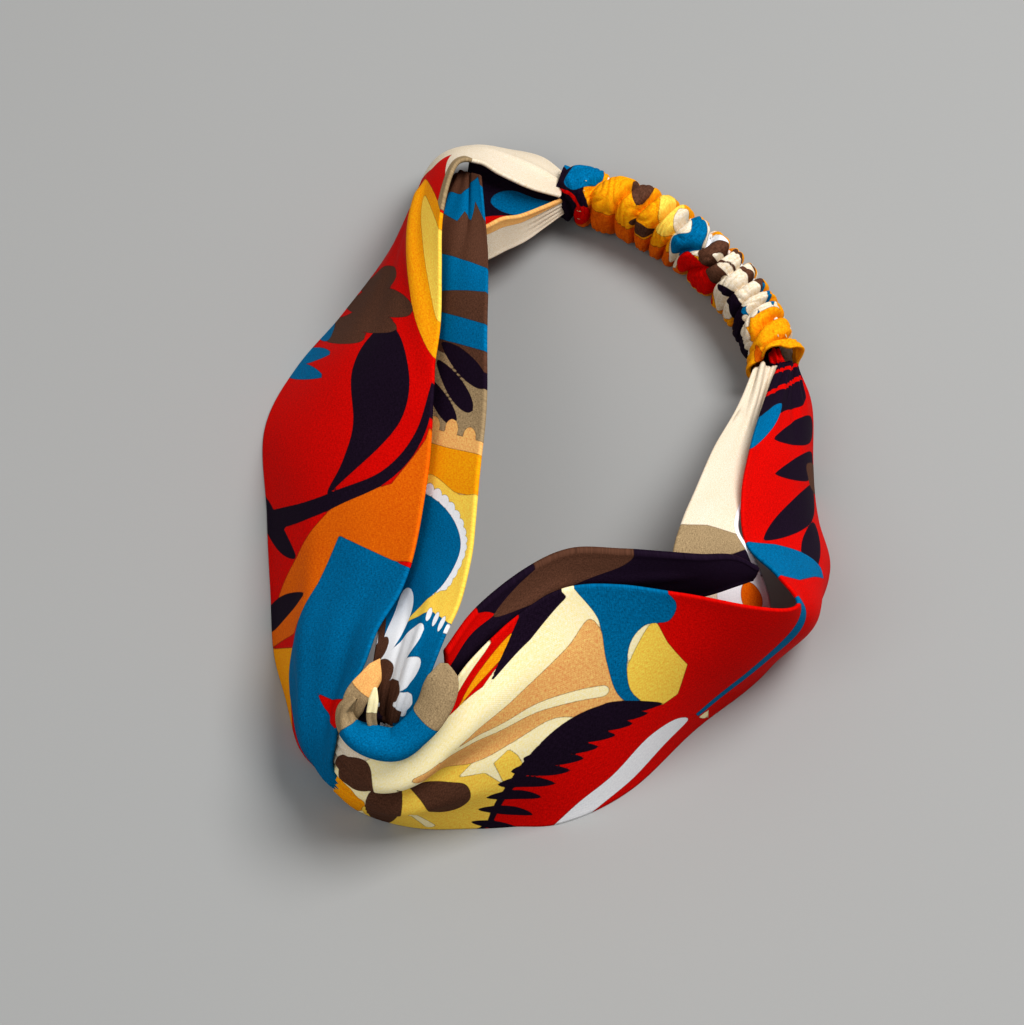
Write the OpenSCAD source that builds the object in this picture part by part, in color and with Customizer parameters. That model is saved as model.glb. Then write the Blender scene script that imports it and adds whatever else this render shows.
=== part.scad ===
// Twist-knot headband: two folded fabric loops, linked at the front,
// joined at the back by an elastic in a gathered sleeve.
// The knot faces -Y, the elastic is at +Y, and the lower edge stands on Z = 0.

/* [Fabric loops] */
// Thickness of the doubled cloth of each loop
cloth_t = 1.6; // [1.0:0.1:2.0]
// How far the outer halves swell outward between their edges
outer_swell = 5; // [0:0.5:6]
// How far the inner halves swell outward between their edges
inner_swell = 2; // [0:0.5:3]

/* [Knot] */
// Radius of each bunched loop where it turns in the knot
bunch_r = 6.5; // [5:0.1:7]
// Radius of the turn, from its centre to the middle of the bunch
turn_r = 17; // [16.5:0.5:18]
// Length of the straight bunch that runs from the turn into each half
bunch_lead = 7; // [5:0.5:8]

/* [Sleeve and elastic] */
// Height of the gathered sleeve
sleeve_h = 23; // [22:0.5:24]
// Depth of the gathered sleeve, front to back
sleeve_d = 15; // [14:0.5:16]
// Thickness of the sleeve's gathered wall
sleeve_wall = 1.8; // [1.2:0.1:1.9]
// Width of the elastic band inside the sleeve
elastic_w = 14; // [12:0.5:14]
// Thickness of the elastic band
elastic_t = 1.2; // [0.8:0.1:1.2]
// Height of each loop's gathered end, where it goes into the sleeve
tail_h = 14; // [12:0.5:15]
// Depth of each loop's gathered end
tail_d = 5.6; // [4:0.2:5.8]

/* [Stitches] */
// Stitches in the row around each mouth of the sleeve
stitch_count = 16; // [10:2:20]
// Thickness of the sewing thread
thread_d = 0.5; // [0.4:0.1:0.6]
// Stitches side by side that hold each end of the elastic
anchor_count = 5; // [3:1:5]

/* [Hidden] */

// Middle of the knot, which is also the axis that the two sides open about.
knot = [0, -91, 32];

// Lower and upper edge of each half, from the knot round to the sleeve.
left_outer_foot = [[-19, -103, 27], [-33, -92, 4], [-46, -72, 0], [-56, -54, 0], [-69, -34, 0],
                   [-84, -10, 0], [-87, 14, 0], [-85, 36, 1], [-82, 56, 3], [-77, 74, 5],
                   [-72, 89, 8], [-60, 99, 9], [-43, 104, 9]];
left_outer_top = [[-16, -99, 46], [-18, -87, 48], [-10, -76, 53], [-8, -64, 56], [-12, -48, 58],
                  [-19, -28, 57], [-29, -6, 55], [-39, 16, 52], [-49, 36, 50], [-58, 54, 46],
                  [-62, 74, 40], [-54, 84, 33], [-42, 94, 21]];
left_inner_foot = [[-19, -81, 13], [-24, -70, 18], [-30, -58, 19], [-40, -44, 18], [-51, -24, 18],
                   [-59, -2, 18], [-64, 20, 18], [-67, 42, 18], [-64, 62, 20], [-56, 74, 20],
                   [-49, 80, 18], [-46, 88, 13], [-43, 97, 8]];
left_inner_top = [[-16, -79, 28], [-7, -66, 46], [7, -63, 62], [6, -50, 67], [-1, -32, 67],
                  [-9, -15, 65], [-18, 4, 63], [-26, 22, 60], [-34, 36, 54], [-39, 46, 46],
                  [-39, 57, 38], [-40, 73, 28], [-42, 91, 18]];
right_outer_foot = [[18, -101, 9], [30, -93, 2], [40, -88, 0], [52, -80, 0], [64, -62, 0],
                    [72, -36, 0], [80, -12, 0], [85, 10, 0], [82, 26, 0], [74, 40, 0],
                    [65, 56, 2], [55, 71, 5], [47, 81, 8]];
right_outer_top = [[17, -99, 28], [20, -82, 50], [24, -68, 60], [34, -52, 68], [46, -42, 68],
                   [62, -34, 64], [78, -24, 54], [82, -10, 50], [71, -1, 50], [61, 11, 48],
                   [55, 26, 45], [49, 48, 36], [44, 71, 22]];
right_inner_foot = [[18, -78, 34], [28, -64, 38], [36, -56, 42], [48, -48, 44], [58, -40, 44],
                    [67, -28, 40], [69, -14, 34], [65, 0, 28], [60, 14, 24], [56, 30, 22],
                    [52, 48, 19], [46, 64, 15], [43, 76, 9]];
right_inner_top = [[16, -78, 53], [18, -69, 65], [24, -52, 73], [32, -41, 74], [43, -34, 73],
                   [54, -26, 68], [57, -17, 60], [54, -8, 54], [51, 4, 51], [48, 18, 46],
                   [46, 34, 40], [44, 50, 31], [40, 69, 20]];

// Middle line of the sleeve, from the left mouth to the right one.
sleeve_line = [[-44, 100, 13], [-24, 103, 13], [-4, 101, 13], [16, 94, 13], [31, 84, 13],
               [43, 72, 13]];
// Where things begin and end along that line, as shares of its length.
mouth_inset = 0.05;
tail_reach = 0.15;
elastic_inset = 0.09;
stitch_reach = 0.02;
anchor_reach = 0.04;
// How far the elastic lies toward the middle of the band from the line of the tails.
elastic_shift = -3.9;

span_steps = 3;
ribbon_rows = 6;
oval_sides = 24;
ring_count = 16;
roundness = 0.6;
thread_sink = 0.1;

function unit(v) = v / norm(v);
function mix(a, b, t) = a + (b - a) * t;
function sign_pow(v, e) = sign(v) * pow(abs(v), e);

// A smooth curve through points, u from 0 at the first to 1 at the last.
function beyond(pts, i) = i < 0 ? 2 * pts[0] - pts[1]
    : i > len(pts) - 1 ? 2 * pts[len(pts) - 1] - pts[len(pts) - 2] : pts[i];
function curve_span(a, b, c, d, t) = 0.5 * (2 * b + (c - a) * t
    + (2 * a - 5 * b + 4 * c - d) * t * t + (3 * b - 3 * c + d - a) * t * t * t);
function curve_at(pts, u) = let (s = u * (len(pts) - 1), i = min(floor(s), len(pts) - 2))
    curve_span(beyond(pts, i - 1), pts[i], pts[i + 1], beyond(pts, i + 2), s - i);
function curve_dir(pts, u) = unit(curve_at(pts, min(u + 0.01, 1)) - curve_at(pts, max(u - 0.01, 0)));

// Faces of a solid skinned over rings of n points each, with both ends closed.
function skin_faces(rings, n) = [
    for (i = [0:rings - 2], k = [0:n - 1]) let (a = i * n + k, b = i * n + (k + 1) % n)
        each [[a, b, a + n], [b, b + n, a + n]],
    for (k = [0:n / 2 - 2]) each [[k + 1, k, n - 2 - k], [k, n - 1 - k, n - 2 - k]],
    for (k = [0:n / 2 - 2]) let (e = (rings - 1) * n)
        each [[e + k, e + k + 1, e + n - 2 - k], [e + n - 1 - k, e + k, e + n - 2 - k]]];

// One station of a half loop: up along its outer face, then down along its inner face.
// side is -1 for the left loop and 1 for the right one.
function on_floor(p) = [p[0], p[1], max(p[2], 0)];
function band_ring(foot, top, u, swell, side) = let (
        a = curve_at(foot, u), b = curve_at(top, u),
        along = unit(curve_dir(foot, u) + curve_dir(top, u)),
        out = -side * unit(cross(b - a, along)))
    [for (j = [0:ribbon_rows])
        on_floor(mix(a, b, j / ribbon_rows) + out * swell * sin(180 * j / ribbon_rows)),
     for (j = [ribbon_rows:-1:0])
        on_floor(mix(a, b, j / ribbon_rows) + out * (swell * sin(180 * j / ribbon_rows) - cloth_t))];

module half_loop(foot, top, swell, side) {
    stations = (len(foot) - 1) * span_steps;
    n = 2 * (ribbon_rows + 1);
    points = [for (i = [0:stations]) each band_ring(foot, top, i / stations, swell, side)];
    faces = skin_faces(stations + 1, n);
    polyhedron(points, side > 0 ? faces : [for (f = faces) [f[2], f[1], f[0]]], convexity = 8);
}

// A point of the rounded outline across the sleeve's line, at u and angle a, moved outward by shift.
function oval_point(u, a, h, d, shift = 0) = let (
        along = curve_dir(sleeve_line, u), out = unit(cross(along, [0, 0, 1])))
    curve_at(sleeve_line, u)
        + out * (shift + d / 2 * sign_pow(cos(a), roundness))
        + [0, 0, h / 2 * sign_pow(sin(a), roundness)];
function oval_ring(u, h, d, shift = 0) =
    [for (k = [0:oval_sides - 1]) oval_point(u, 360 * (k + 0.5) / oval_sides, h, d, shift)];

module oval_sweep(from, to, h, d, shift = 0) {
    points = [for (i = [0:ring_count]) each oval_ring(mix(from, to, i / ring_count), h, d, shift)];
    polyhedron(points, skin_faces(ring_count + 1, oval_sides), convexity = 4);
}

// A straight length of thread between two points.
module thread(a, b) {
    v = b - a;
    translate(a)
        rotate([0, acos(v[2] / norm(v)), atan2(v[1], v[0])])
            cylinder(h = norm(v), d = thread_d, $fn = 16);
}

// A loop's bunched turn: half a ring with a straight lead at both ends.
// side is 1 when the turn reaches toward +X, and tilt stands the ring on edge.
module bunched_turn(side, tilt) {
    translate(knot - [side * turn_r / 2, 0, 0])
        rotate([tilt, 0, 0])
            mirror([side < 0 ? 1 : 0, 0, 0])
                union() {
                    rotate([0, 0, -90])
                        rotate_extrude(angle = 180, $fn = 64)
                            translate([turn_r, 0]) circle(r = bunch_r, $fn = 48);
                    for (end = [-1, 1])
                        translate([-bunch_lead, end * turn_r, 0])
                            rotate([0, 90, 0])
                                cylinder(h = bunch_lead, r = bunch_r, $fn = 48);
                }
}

// Stitches that run along the sleeve's outer face, all round a mouth, from u to u + reach.
module mouth_stitches(u, reach) {
    h = sleeve_h + thread_d - 2 * thread_sink;
    d = sleeve_d + thread_d - 2 * thread_sink;
    for (k = [0:stitch_count - 1])
        let (a = 360 * (k + 0.5) / stitch_count)
            thread(oval_point(u, a, h, d), oval_point(u + reach, a, h, d));
}

// Slanting stitches side by side across the elastic's inner face, from u to u + reach.
function anchor_point(u, z) = oval_point(u, 0, 0, 0, elastic_shift - elastic_t / 2
    - thread_d / 2 + thread_sink) + [0, 0, z];
module anchor_stitches(u, reach) {
    rise = elastic_w / 2 - 2;
    for (k = [0:anchor_count - 1])
        thread(anchor_point(u + reach * k / anchor_count, -rise),
               anchor_point(u + reach * (k + 0.5) / anchor_count, rise));
}

module left_loop_outer() {
    color("firebrick") half_loop(left_outer_foot, left_outer_top, outer_swell, -1);
}
module left_loop_inner() {
    color("goldenrod") half_loop(left_inner_foot, left_inner_top, inner_swell, -1);
}
module left_loop_turn() { color("steelblue") bunched_turn(1, 135); }
module left_loop_tail() { color("wheat") oval_sweep(0, tail_reach, tail_h, tail_d); }

module right_loop_outer() {
    color("firebrick") half_loop(right_outer_foot, right_outer_top, outer_swell, 1);
}
module right_loop_inner() {
    color("antiquewhite") half_loop(right_inner_foot, right_inner_top, inner_swell, 1);
}
module right_loop_turn() { color("teal") bunched_turn(-1, -135); }
module right_loop_tail() { color("wheat") oval_sweep(1 - tail_reach, 1, tail_h, tail_d); }

// The sleeve is open right through: the tails go in at its two mouths.
module gathered_sleeve() {
    color("orange")
        difference() {
            oval_sweep(mouth_inset, 1 - mouth_inset, sleeve_h, sleeve_d);
            oval_sweep(mouth_inset / 2, 1 - mouth_inset / 2,
                       sleeve_h - 2 * sleeve_wall, sleeve_d - 2 * sleeve_wall);
        }
}

module elastic_band() {
    color("white")
        elastic_sweep(elastic_inset, 1 - elastic_inset);
}

module elastic_sweep(from, to) {
    corners = [[-1, -1], [1, -1], [1, 1], [-1, 1]];
    points = [for (i = [0:ring_count], c = corners)
        oval_point(mix(from, to, i / ring_count), 0, 0, 0, elastic_shift + c[0] * elastic_t / 2)
            + [0, 0, c[1] * elastic_w / 2]];
    polyhedron(points, skin_faces(ring_count + 1, len(corners)), convexity = 4);
}

module left_mouth_stitches() {
    color("ivory") mouth_stitches(mouth_inset + stitch_reach, stitch_reach);
}
module right_mouth_stitches() {
    color("ivory") mouth_stitches(1 - mouth_inset - stitch_reach, -stitch_reach);
}
module left_anchor_stitches() {
    color("ivory") anchor_stitches(elastic_inset + stitch_reach / 2, anchor_reach);
}
module right_anchor_stitches() {
    color("ivory") anchor_stitches(1 - elastic_inset - stitch_reach / 2, -anchor_reach);
}

left_loop_outer();
left_loop_turn();
left_loop_inner();
left_loop_tail();
right_loop_outer();
right_loop_turn();
right_loop_inner();
right_loop_tail();
gathered_sleeve();
elastic_band();
left_mouth_stitches();
right_mouth_stitches();
left_anchor_stitches();
right_anchor_stitches();
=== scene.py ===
"""Twist-knot headband in printed satin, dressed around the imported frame.

Two loops of doubled satin are linked in a twist knot at the front and joined at the back by an
elastic in a gathered sleeve. Lengths in the classes below are millimetres, and meshes are metres.
"""

import logging
import math
from dataclasses import dataclass, field
from enum import Enum

import bpy
import numpy as np
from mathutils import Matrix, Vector

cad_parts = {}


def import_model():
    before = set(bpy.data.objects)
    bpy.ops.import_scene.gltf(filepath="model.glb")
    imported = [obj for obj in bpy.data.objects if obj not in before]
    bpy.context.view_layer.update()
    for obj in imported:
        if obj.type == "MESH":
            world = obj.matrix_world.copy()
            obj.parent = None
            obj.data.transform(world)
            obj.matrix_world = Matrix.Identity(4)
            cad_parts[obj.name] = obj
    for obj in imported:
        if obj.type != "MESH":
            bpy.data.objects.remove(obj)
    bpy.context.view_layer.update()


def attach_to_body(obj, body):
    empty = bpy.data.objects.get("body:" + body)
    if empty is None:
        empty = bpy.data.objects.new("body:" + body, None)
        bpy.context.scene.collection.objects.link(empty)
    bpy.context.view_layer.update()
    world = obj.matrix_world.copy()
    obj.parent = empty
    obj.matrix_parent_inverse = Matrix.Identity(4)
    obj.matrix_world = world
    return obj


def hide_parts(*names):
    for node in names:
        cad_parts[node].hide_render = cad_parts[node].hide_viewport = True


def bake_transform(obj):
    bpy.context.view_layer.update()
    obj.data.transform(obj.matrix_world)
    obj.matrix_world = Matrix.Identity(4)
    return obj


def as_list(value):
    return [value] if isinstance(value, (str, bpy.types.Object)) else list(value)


LOG = logging.getLogger("headband")
MM = 0.001
PRINT_UV = "cloth_mm"
Point2 = tuple[float, float]
Point3 = tuple[float, float, float]


class Body(Enum):
    """The moving bodies of the headband."""

    LEFT = "left_side"
    RIGHT = "right_side"


class Slot(Enum):
    """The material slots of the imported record."""

    SATIN = "printed_satin"
    ELASTIC = "knitted_elastic"
    THREAD = "sewing_thread"


class Dye(Enum):
    """The dyes of the print, in display colours from 0 to 255. TAN, PEACH and NAVY also paint shade on some
    shaded folds.
    """

    RED = (206, 14, 8)
    ORANGE = (222, 106, 14)
    GOLD = (238, 158, 20)
    LEMON = (246, 206, 88)
    PALE = (250, 236, 188)
    CREAM = (228, 213, 190)
    WHITE = (236, 236, 238)
    PEACH = (232, 176, 108)
    TAN = (158, 136, 104)
    BROWN = (92, 62, 48)
    NAVY = (34, 22, 38)
    BLUE = (0, 106, 150)


DYES = list(Dye)


def linear(colour: tuple[int, int, int]) -> tuple[float, float, float, float]:
    """Turn a display colour from 0 to 255 into a linear one with alpha."""
    parts = [c / 255 for c in colour]
    light = [p / 12.92 if p <= 0.04045 else ((p + 0.055) / 1.055) ** 2.4 for p in parts]
    return (light[0], light[1], light[2], 1.0)


# ---------------------------------------------------------------------------
# Curves and frames


def curve(points: tuple, shares: np.ndarray) -> np.ndarray:
    """Follow a smooth curve through control points.

    Args:
        points: The control points, all with the same number of coordinates.
        shares: Places along the curve, 0 at the first point and 1 at the last.

    Returns:
        One row of coordinates for each share.
    """
    knots = np.asarray(points, float)
    ext = np.vstack([2 * knots[0] - knots[1], knots, 2 * knots[-1] - knots[-2]])
    at = np.clip(shares, 0, 1) * (len(knots) - 1)
    i = np.minimum(at.astype(int), len(knots) - 2)
    t = (at - i)[:, None]
    a, b, c, d = ext[i], ext[i + 1], ext[i + 2], ext[i + 3]
    return 0.5 * (2 * b + (c - a) * t + (2 * a - 5 * b + 4 * c - d) * t**2
                  + (3 * b - 3 * c + d - a) * t**3)


def unit(vectors: np.ndarray) -> np.ndarray:
    """Scale rows of vectors to length one."""
    return vectors / np.maximum(np.linalg.norm(vectors, axis=-1, keepdims=True), 1e-9)


def run_length(line: np.ndarray) -> np.ndarray:
    """Give the distance along a polyline at each of its points."""
    return np.concatenate([[0], np.cumsum(np.linalg.norm(np.diff(line, axis=0), axis=1))])


def smooth(low: float, high: float, value: np.ndarray) -> np.ndarray:
    """Rise smoothly from 0 at low to 1 at high."""
    t = np.clip((value - low) / (high - low), 0, 1)
    return t * t * (3 - 2 * t)


@dataclass(frozen=True)
class Ripple:
    """A smooth, seeded unevenness over two directions, made of a few long waves."""

    seed: int
    reach: float
    waves: int = 7

    def at(self, x: np.ndarray, y: np.ndarray) -> np.ndarray:
        """Give the unevenness, about -1 to 1, at places x, y."""
        rng = np.random.default_rng(self.seed)
        total = np.zeros(np.broadcast(x, y).shape)
        for _ in range(self.waves):
            turn, phase, size = rng.uniform(0, 2 * math.pi, 2).tolist() + [rng.uniform(0.6, 1.7)]
            along = x * math.cos(turn) + y * math.sin(turn)
            total = total + np.sin(along * 2 * math.pi * size / self.reach + phase)
        return total / math.sqrt(self.waves)


# ---------------------------------------------------------------------------
# The print, and some painted shade: motifs laid over each other on the flat cloth


@dataclass(frozen=True)
class Motif:
    """One shape of the print in one dye."""

    dye: Dye

    def depth(self, cloth: np.ndarray) -> np.ndarray:
        """Give how far inside the shape each cloth point lies, negative outside."""
        raise NotImplementedError


@dataclass(frozen=True)
class Patch(Motif):
    """A shape with an outline through given points, soft or straight between them."""

    outline: tuple[Point2, ...] = ()
    soft: bool = True

    def depth(self, cloth: np.ndarray) -> np.ndarray:
        """Give the signed distance to the outline."""
        loop = np.asarray(self.outline, float)
        if self.soft:
            n = len(loop)
            wrapped = np.vstack([loop[-2:], loop, loop[:3]])
            shares = (np.arange(n * 6) / 6 + 2) / (len(wrapped) - 1)
            loop = curve(tuple(map(tuple, wrapped)), shares)
        near = np.full(len(cloth), 1e9)
        inside = np.zeros(len(cloth), bool)
        for a, b in zip(loop, np.roll(loop, -1, axis=0)):
            edge = b - a
            t = np.clip(((cloth - a) @ edge) / max(edge @ edge, 1e-9), 0, 1)
            near = np.minimum(near, ((cloth - a - t[:, None] * edge) ** 2).sum(1))
            crosses = (a[1] > cloth[:, 1]) != (b[1] > cloth[:, 1])
            rise = edge[1] if abs(edge[1]) > 1e-9 else 1e-9
            inside ^= crosses & (cloth[:, 0] < a[0] + edge[0] * (cloth[:, 1] - a[1]) / rise)
        return np.where(inside, 1, -1) * np.sqrt(near)


@dataclass(frozen=True)
class Leaf(Motif):
    """A pointed shape from its base to its tip, which may bend."""

    base: Point2 = (0, 0)
    tip: Point2 = (1, 0)
    half: float = 3
    belly: float = 0.5
    bend: float = 0

    def depth(self, cloth: np.ndarray) -> np.ndarray:
        """Give how far inside the leaf each point lies."""
        base, tip = np.asarray(self.base, float), np.asarray(self.tip, float)
        length = float(np.linalg.norm(tip - base))
        along = (tip - base) / length
        x = (cloth - base) @ along / length
        y = (cloth - base) @ np.array([-along[1], along[0]])
        t = np.clip(x, 0, 1)
        y = y - self.bend * 4 * t * (1 - t)
        rise, fall = 1.3 * self.belly, 1.3 * (1 - self.belly)
        peak = self.belly**rise * (1 - self.belly) ** fall
        wide = self.half * t**rise * (1 - t) ** fall / peak
        return np.minimum(wide - np.abs(y), np.minimum(x, 1 - x) * length + 0.3)


@dataclass(frozen=True)
class Oval(Motif):
    """An ellipse on the cloth."""

    centre: Point2 = (0, 0)
    radii: Point2 = (3, 3)

    def depth(self, cloth: np.ndarray) -> np.ndarray:
        """Give how far inside the ellipse each point lies."""
        apart = (cloth - np.asarray(self.centre)) / np.asarray(self.radii)
        return (1 - np.linalg.norm(apart, axis=1)) * min(self.radii)


@dataclass(frozen=True)
class Stroke(Motif):
    """A brush stroke along a curve, with a half width at each of its ends."""

    path: tuple[Point2, ...] = ()
    halves: Point2 = (1, 1)

    def depth(self, cloth: np.ndarray) -> np.ndarray:
        """Give how far inside the stroke each point lies."""
        shares = np.linspace(0, 1, 6 * len(self.path))
        line = curve(self.path, shares)
        best = np.full(len(cloth), -1e9)
        for a, b, share in zip(line[:-1], line[1:], shares):
            edge = b - a
            t = np.clip(((cloth - a) @ edge) / max(edge @ edge, 1e-9), 0, 1)
            gap = np.linalg.norm(cloth - a - t[:, None] * edge, axis=1)
            best = np.maximum(best, self.halves[0] + (self.halves[1] - self.halves[0]) * share - gap)
        return best


@dataclass(frozen=True)
class Scallop(Motif):
    """A row of round beads along a curve, for a scalloped border."""

    path: tuple[Point2, ...] = ()
    radius: float = 2
    count: int = 8

    def depth(self, cloth: np.ndarray) -> np.ndarray:
        """Give how far inside the nearest bead each point lies."""
        beads = curve(self.path, np.linspace(0, 1, self.count))
        gaps = [np.linalg.norm(cloth - bead, axis=1) for bead in beads]
        return self.radius - np.minimum.reduce(gaps)


def ring(centre: Point2, radii: Point2, start: float, end: float) -> tuple[Point2, ...]:
    """Set points round an ellipse, from one angle to another in degrees."""
    turns = np.radians(np.linspace(start, end, 12))
    return tuple((centre[0] + radii[0] * math.sin(a), centre[1] + radii[1] * math.cos(a)) for a in turns)


def saw(dye: Dye, path: tuple[Point2, ...], reach: Point2, count: int, half: float) -> tuple[Leaf, ...]:
    """Set a row of narrow teeth along a curve.

    Args:
        dye: The teeth's dye.
        path: Points of the curve that the teeth stand on.
        reach: The way from a tooth's foot to its tip.
        count: How many teeth there are.
        half: Half the width of a tooth.

    Returns:
        One leaf for each tooth.
    """
    feet = curve(path, np.linspace(0, 1, count))
    return tuple(
        Leaf(dye, tuple(foot - 0.6 * np.asarray(reach)), tuple(foot + np.asarray(reach)), half, 0.45)
        for foot in feet
    )


@dataclass(frozen=True)
class Print:
    """A stretch of printed cloth: a ground dye with motifs laid over it in order; on some pieces a few of
    these motifs are painted shade.
    """

    ground: Dye
    motifs: tuple[Motif, ...] = ()

    def fields(self, cloth: np.ndarray) -> np.ndarray:
        """Work out how deep each point lies in each dye's visible area.

        Args:
            cloth: Points on the flat cloth, in millimetres.

        Returns:
            One column for each dye, greatest where that dye shows.
        """
        shown = np.full((len(cloth), len(DYES)), -30.0)
        clear = np.full(len(cloth), 30.0)
        for motif in reversed(self.motifs):
            depth = motif.depth(cloth)
            column = DYES.index(motif.dye)
            shown[:, column] = np.maximum(shown[:, column], np.minimum(depth, clear))
            clear = np.minimum(clear, -depth)
        column = DYES.index(self.ground)
        shown[:, column] = np.maximum(shown[:, column], clear)
        return shown


# ---------------------------------------------------------------------------
# Shader maths


class Signal:
    """A shader value that takes part in Python expressions."""

    def __init__(self, bench: "Bench", socket: bpy.types.NodeSocket) -> None:
        """Wrap an output socket of a bench's tree."""
        self.bench = bench
        self.socket = socket

    def _math(self, operation: str, *values: "Signal | float") -> "Signal":
        """Add a Math node for one operation."""
        node = self.bench.node("ShaderNodeMath", {"operation": operation}, dict(enumerate(values)))
        return Signal(self.bench, node.outputs[0])

    def __add__(self, other: "Signal | float") -> "Signal":
        """Add."""
        return self._math("ADD", self, other)

    def __sub__(self, other: "Signal | float") -> "Signal":
        """Take away."""
        return self._math("SUBTRACT", self, other)

    def __rsub__(self, other: float) -> "Signal":
        """Take this from a number."""
        return self._math("SUBTRACT", other, self)

    def __mul__(self, other: "Signal | float") -> "Signal":
        """Multiply."""
        return self._math("MULTIPLY", self, other)

    def __truediv__(self, other: "Signal | float") -> "Signal":
        """Divide."""
        return self._math("DIVIDE", self, other)

    __radd__ = __add__
    __rmul__ = __mul__

    def held(self) -> "Signal":
        """Keep within 0 and 1."""
        node = self.bench.node("ShaderNodeClamp", {}, {"Value": self})
        return Signal(self.bench, node.outputs[0])

    def greatest(self, other: "Signal | float") -> "Signal":
        """Take the greater of two values."""
        return self._math("MAXIMUM", self, other)

    def least(self, other: "Signal | float") -> "Signal":
        """Take the lesser of two values."""
        return self._math("MINIMUM", self, other)

    def wave(self) -> "Signal":
        """Take the sine."""
        return self._math("SINE", self)


class Bench:
    """A new material's node tree, with one way to add nodes to it."""

    def __init__(self, name: str) -> None:
        """Start an empty material of that name."""
        self.material = bpy.data.materials.new(name)
        self.material.use_nodes = True
        self.tree = self.material.node_tree
        self.tree.nodes.clear()

    def node(self, kind: str, settings: dict, inputs: dict) -> bpy.types.Node:
        """Add a node.

        Args:
            kind: The node's type.
            settings: Its properties, which are set first.
            inputs: Values or links for its sockets, by name or number.

        Returns:
            The new node.
        """
        made = self.tree.nodes.new(kind)
        for key, value in settings.items():
            setattr(made, key, value)
        for key, value in inputs.items():
            source = value.socket if isinstance(value, Signal) else value
            if isinstance(source, bpy.types.NodeSocket):
                self.tree.links.new(source, made.inputs[key])
            else:
                made.inputs[key].default_value = source
        return made

    def mix(self, share: "Signal | float", a: object, b: object, mode: str = "MIX") -> bpy.types.NodeSocket:
        """Mix two colours and return the result's socket."""
        made = self.node("ShaderNodeMix", {"data_type": "RGBA", "blend_type": mode}, {0: share, 6: a, 7: b})
        return made.outputs[2]

    def noise(self, place: object, scale: float, detail: float = 2) -> Signal:
        """Add a noise over places and return its value."""
        made = self.node("ShaderNodeTexNoise", {}, {"Vector": place, "Scale": scale, "Detail": detail})
        return Signal(self, made.outputs["Fac"])

    def stretched(self, place: object, scale: Point3) -> bpy.types.NodeSocket:
        """Scale places differently in each direction."""
        return self.node("ShaderNodeMapping", {}, {"Vector": place, "Scale": scale}).outputs[0]

    def parts(self, vector: object) -> list[Signal]:
        """Split a vector into its three values."""
        made = self.node("ShaderNodeSeparateXYZ", {}, {0: vector})
        return [Signal(self, out) for out in made.outputs]

    def bump(self, height: Signal, strength: float, reach: float) -> bpy.types.NodeSocket:
        """Turn a height into a normal."""
        made = self.node("ShaderNodeBump", {}, {"Height": height, "Strength": strength, "Distance": reach})
        return made.outputs[0]

    def surface(self, **inputs: object) -> bpy.types.Material:
        """Finish with the main shader, whose sockets are named with _ for a space."""
        named = {key.replace("_", " "): value for key, value in inputs.items()}
        shader = self.node("ShaderNodeBsdfPrincipled", {}, named)
        self.node("ShaderNodeOutputMaterial", {}, {"Surface": shader.outputs[0]})
        return self.material


@dataclass(frozen=True)
class PrintedSatin:
    """Soft satin with a bold print and a fine twill grain. Grain scales are repeats in a metre."""

    name: str = "printed_satin_cloth"
    edge: float = 0.2
    line: float = 0.5
    line_strength: float = 0.5
    line_colour: tuple[float, float, float, float] = (0.02, 0.008, 0.01, 1)
    grain_scale: Point3 = (2600.0, 900.0, 1.0)
    cross_scale: Point3 = (800.0, 2400.0, 1.0)
    slub_scale: Point3 = (60.0, 40.0, 1.0)
    twill_pitch: float = 9000.0
    weave_contrast: float = 1.8
    weave_share: float = 0.55
    relief: float = 0.00016
    roughness: float = 0.5
    gloss: float = 0.01

    def make(self) -> bpy.types.Material:
        """Build the material, which reads the dye fields and the cloth's own map."""
        bench = Bench(self.name)
        place = bench.node("ShaderNodeUVMap", {"uv_map": PRINT_UV}, {}).outputs[0]
        across = bench.parts(place)
        colour: object = linear(DYES[0].value)
        best: Signal | None = None
        second: Signal | None = None
        for group in range(len(DYES) // 3):
            read = bench.node("ShaderNodeAttribute", {"attribute_name": f"dye_{group}"}, {})
            for part, dye in zip(bench.parts(read.outputs["Vector"]), DYES[3 * group:3 * group + 3]):
                if best is None:
                    best = part
                    continue
                lesser = best.least(part)
                second = lesser if second is None else second.greatest(lesser)
                colour = bench.mix(((part - best) / self.edge + 0.5).held(), colour, linear(dye.value))
                best = best.greatest(part)
        line = 1 - ((best - second) / self.line).held()
        colour = bench.mix(line * self.line_strength, colour, self.line_colour)
        grain = bench.noise(bench.stretched(place, self.grain_scale), 1.0, 1)
        cross = bench.noise(bench.stretched(place, self.cross_scale), 1.0, 1)
        slub = bench.noise(bench.stretched(place, self.slub_scale), 1.0, 3)
        weave = grain * 0.55 + cross * 0.45
        tone = (weave - 0.5) * self.weave_contrast + (slub - 0.5) * 0.25 + 0.5
        grey = bench.node("ShaderNodeCombineColor", {}, {0: tone, 1: tone, 2: tone}).outputs[0]
        colour = bench.mix(self.weave_share, colour, grey, "OVERLAY")
        twill = ((across[0] + across[1]) * self.twill_pitch).wave()
        height = weave * 0.8 + twill * 0.12 + slub * 0.4
        normal = bench.bump(height, 0.5, self.relief)
        return bench.surface(
            Base_Color=colour, Roughness=(weave - 0.5) * 0.25 + (slub - 0.5) * 0.12 + self.roughness,
            Normal=normal, Specular_IOR_Level=self.gloss)


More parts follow.
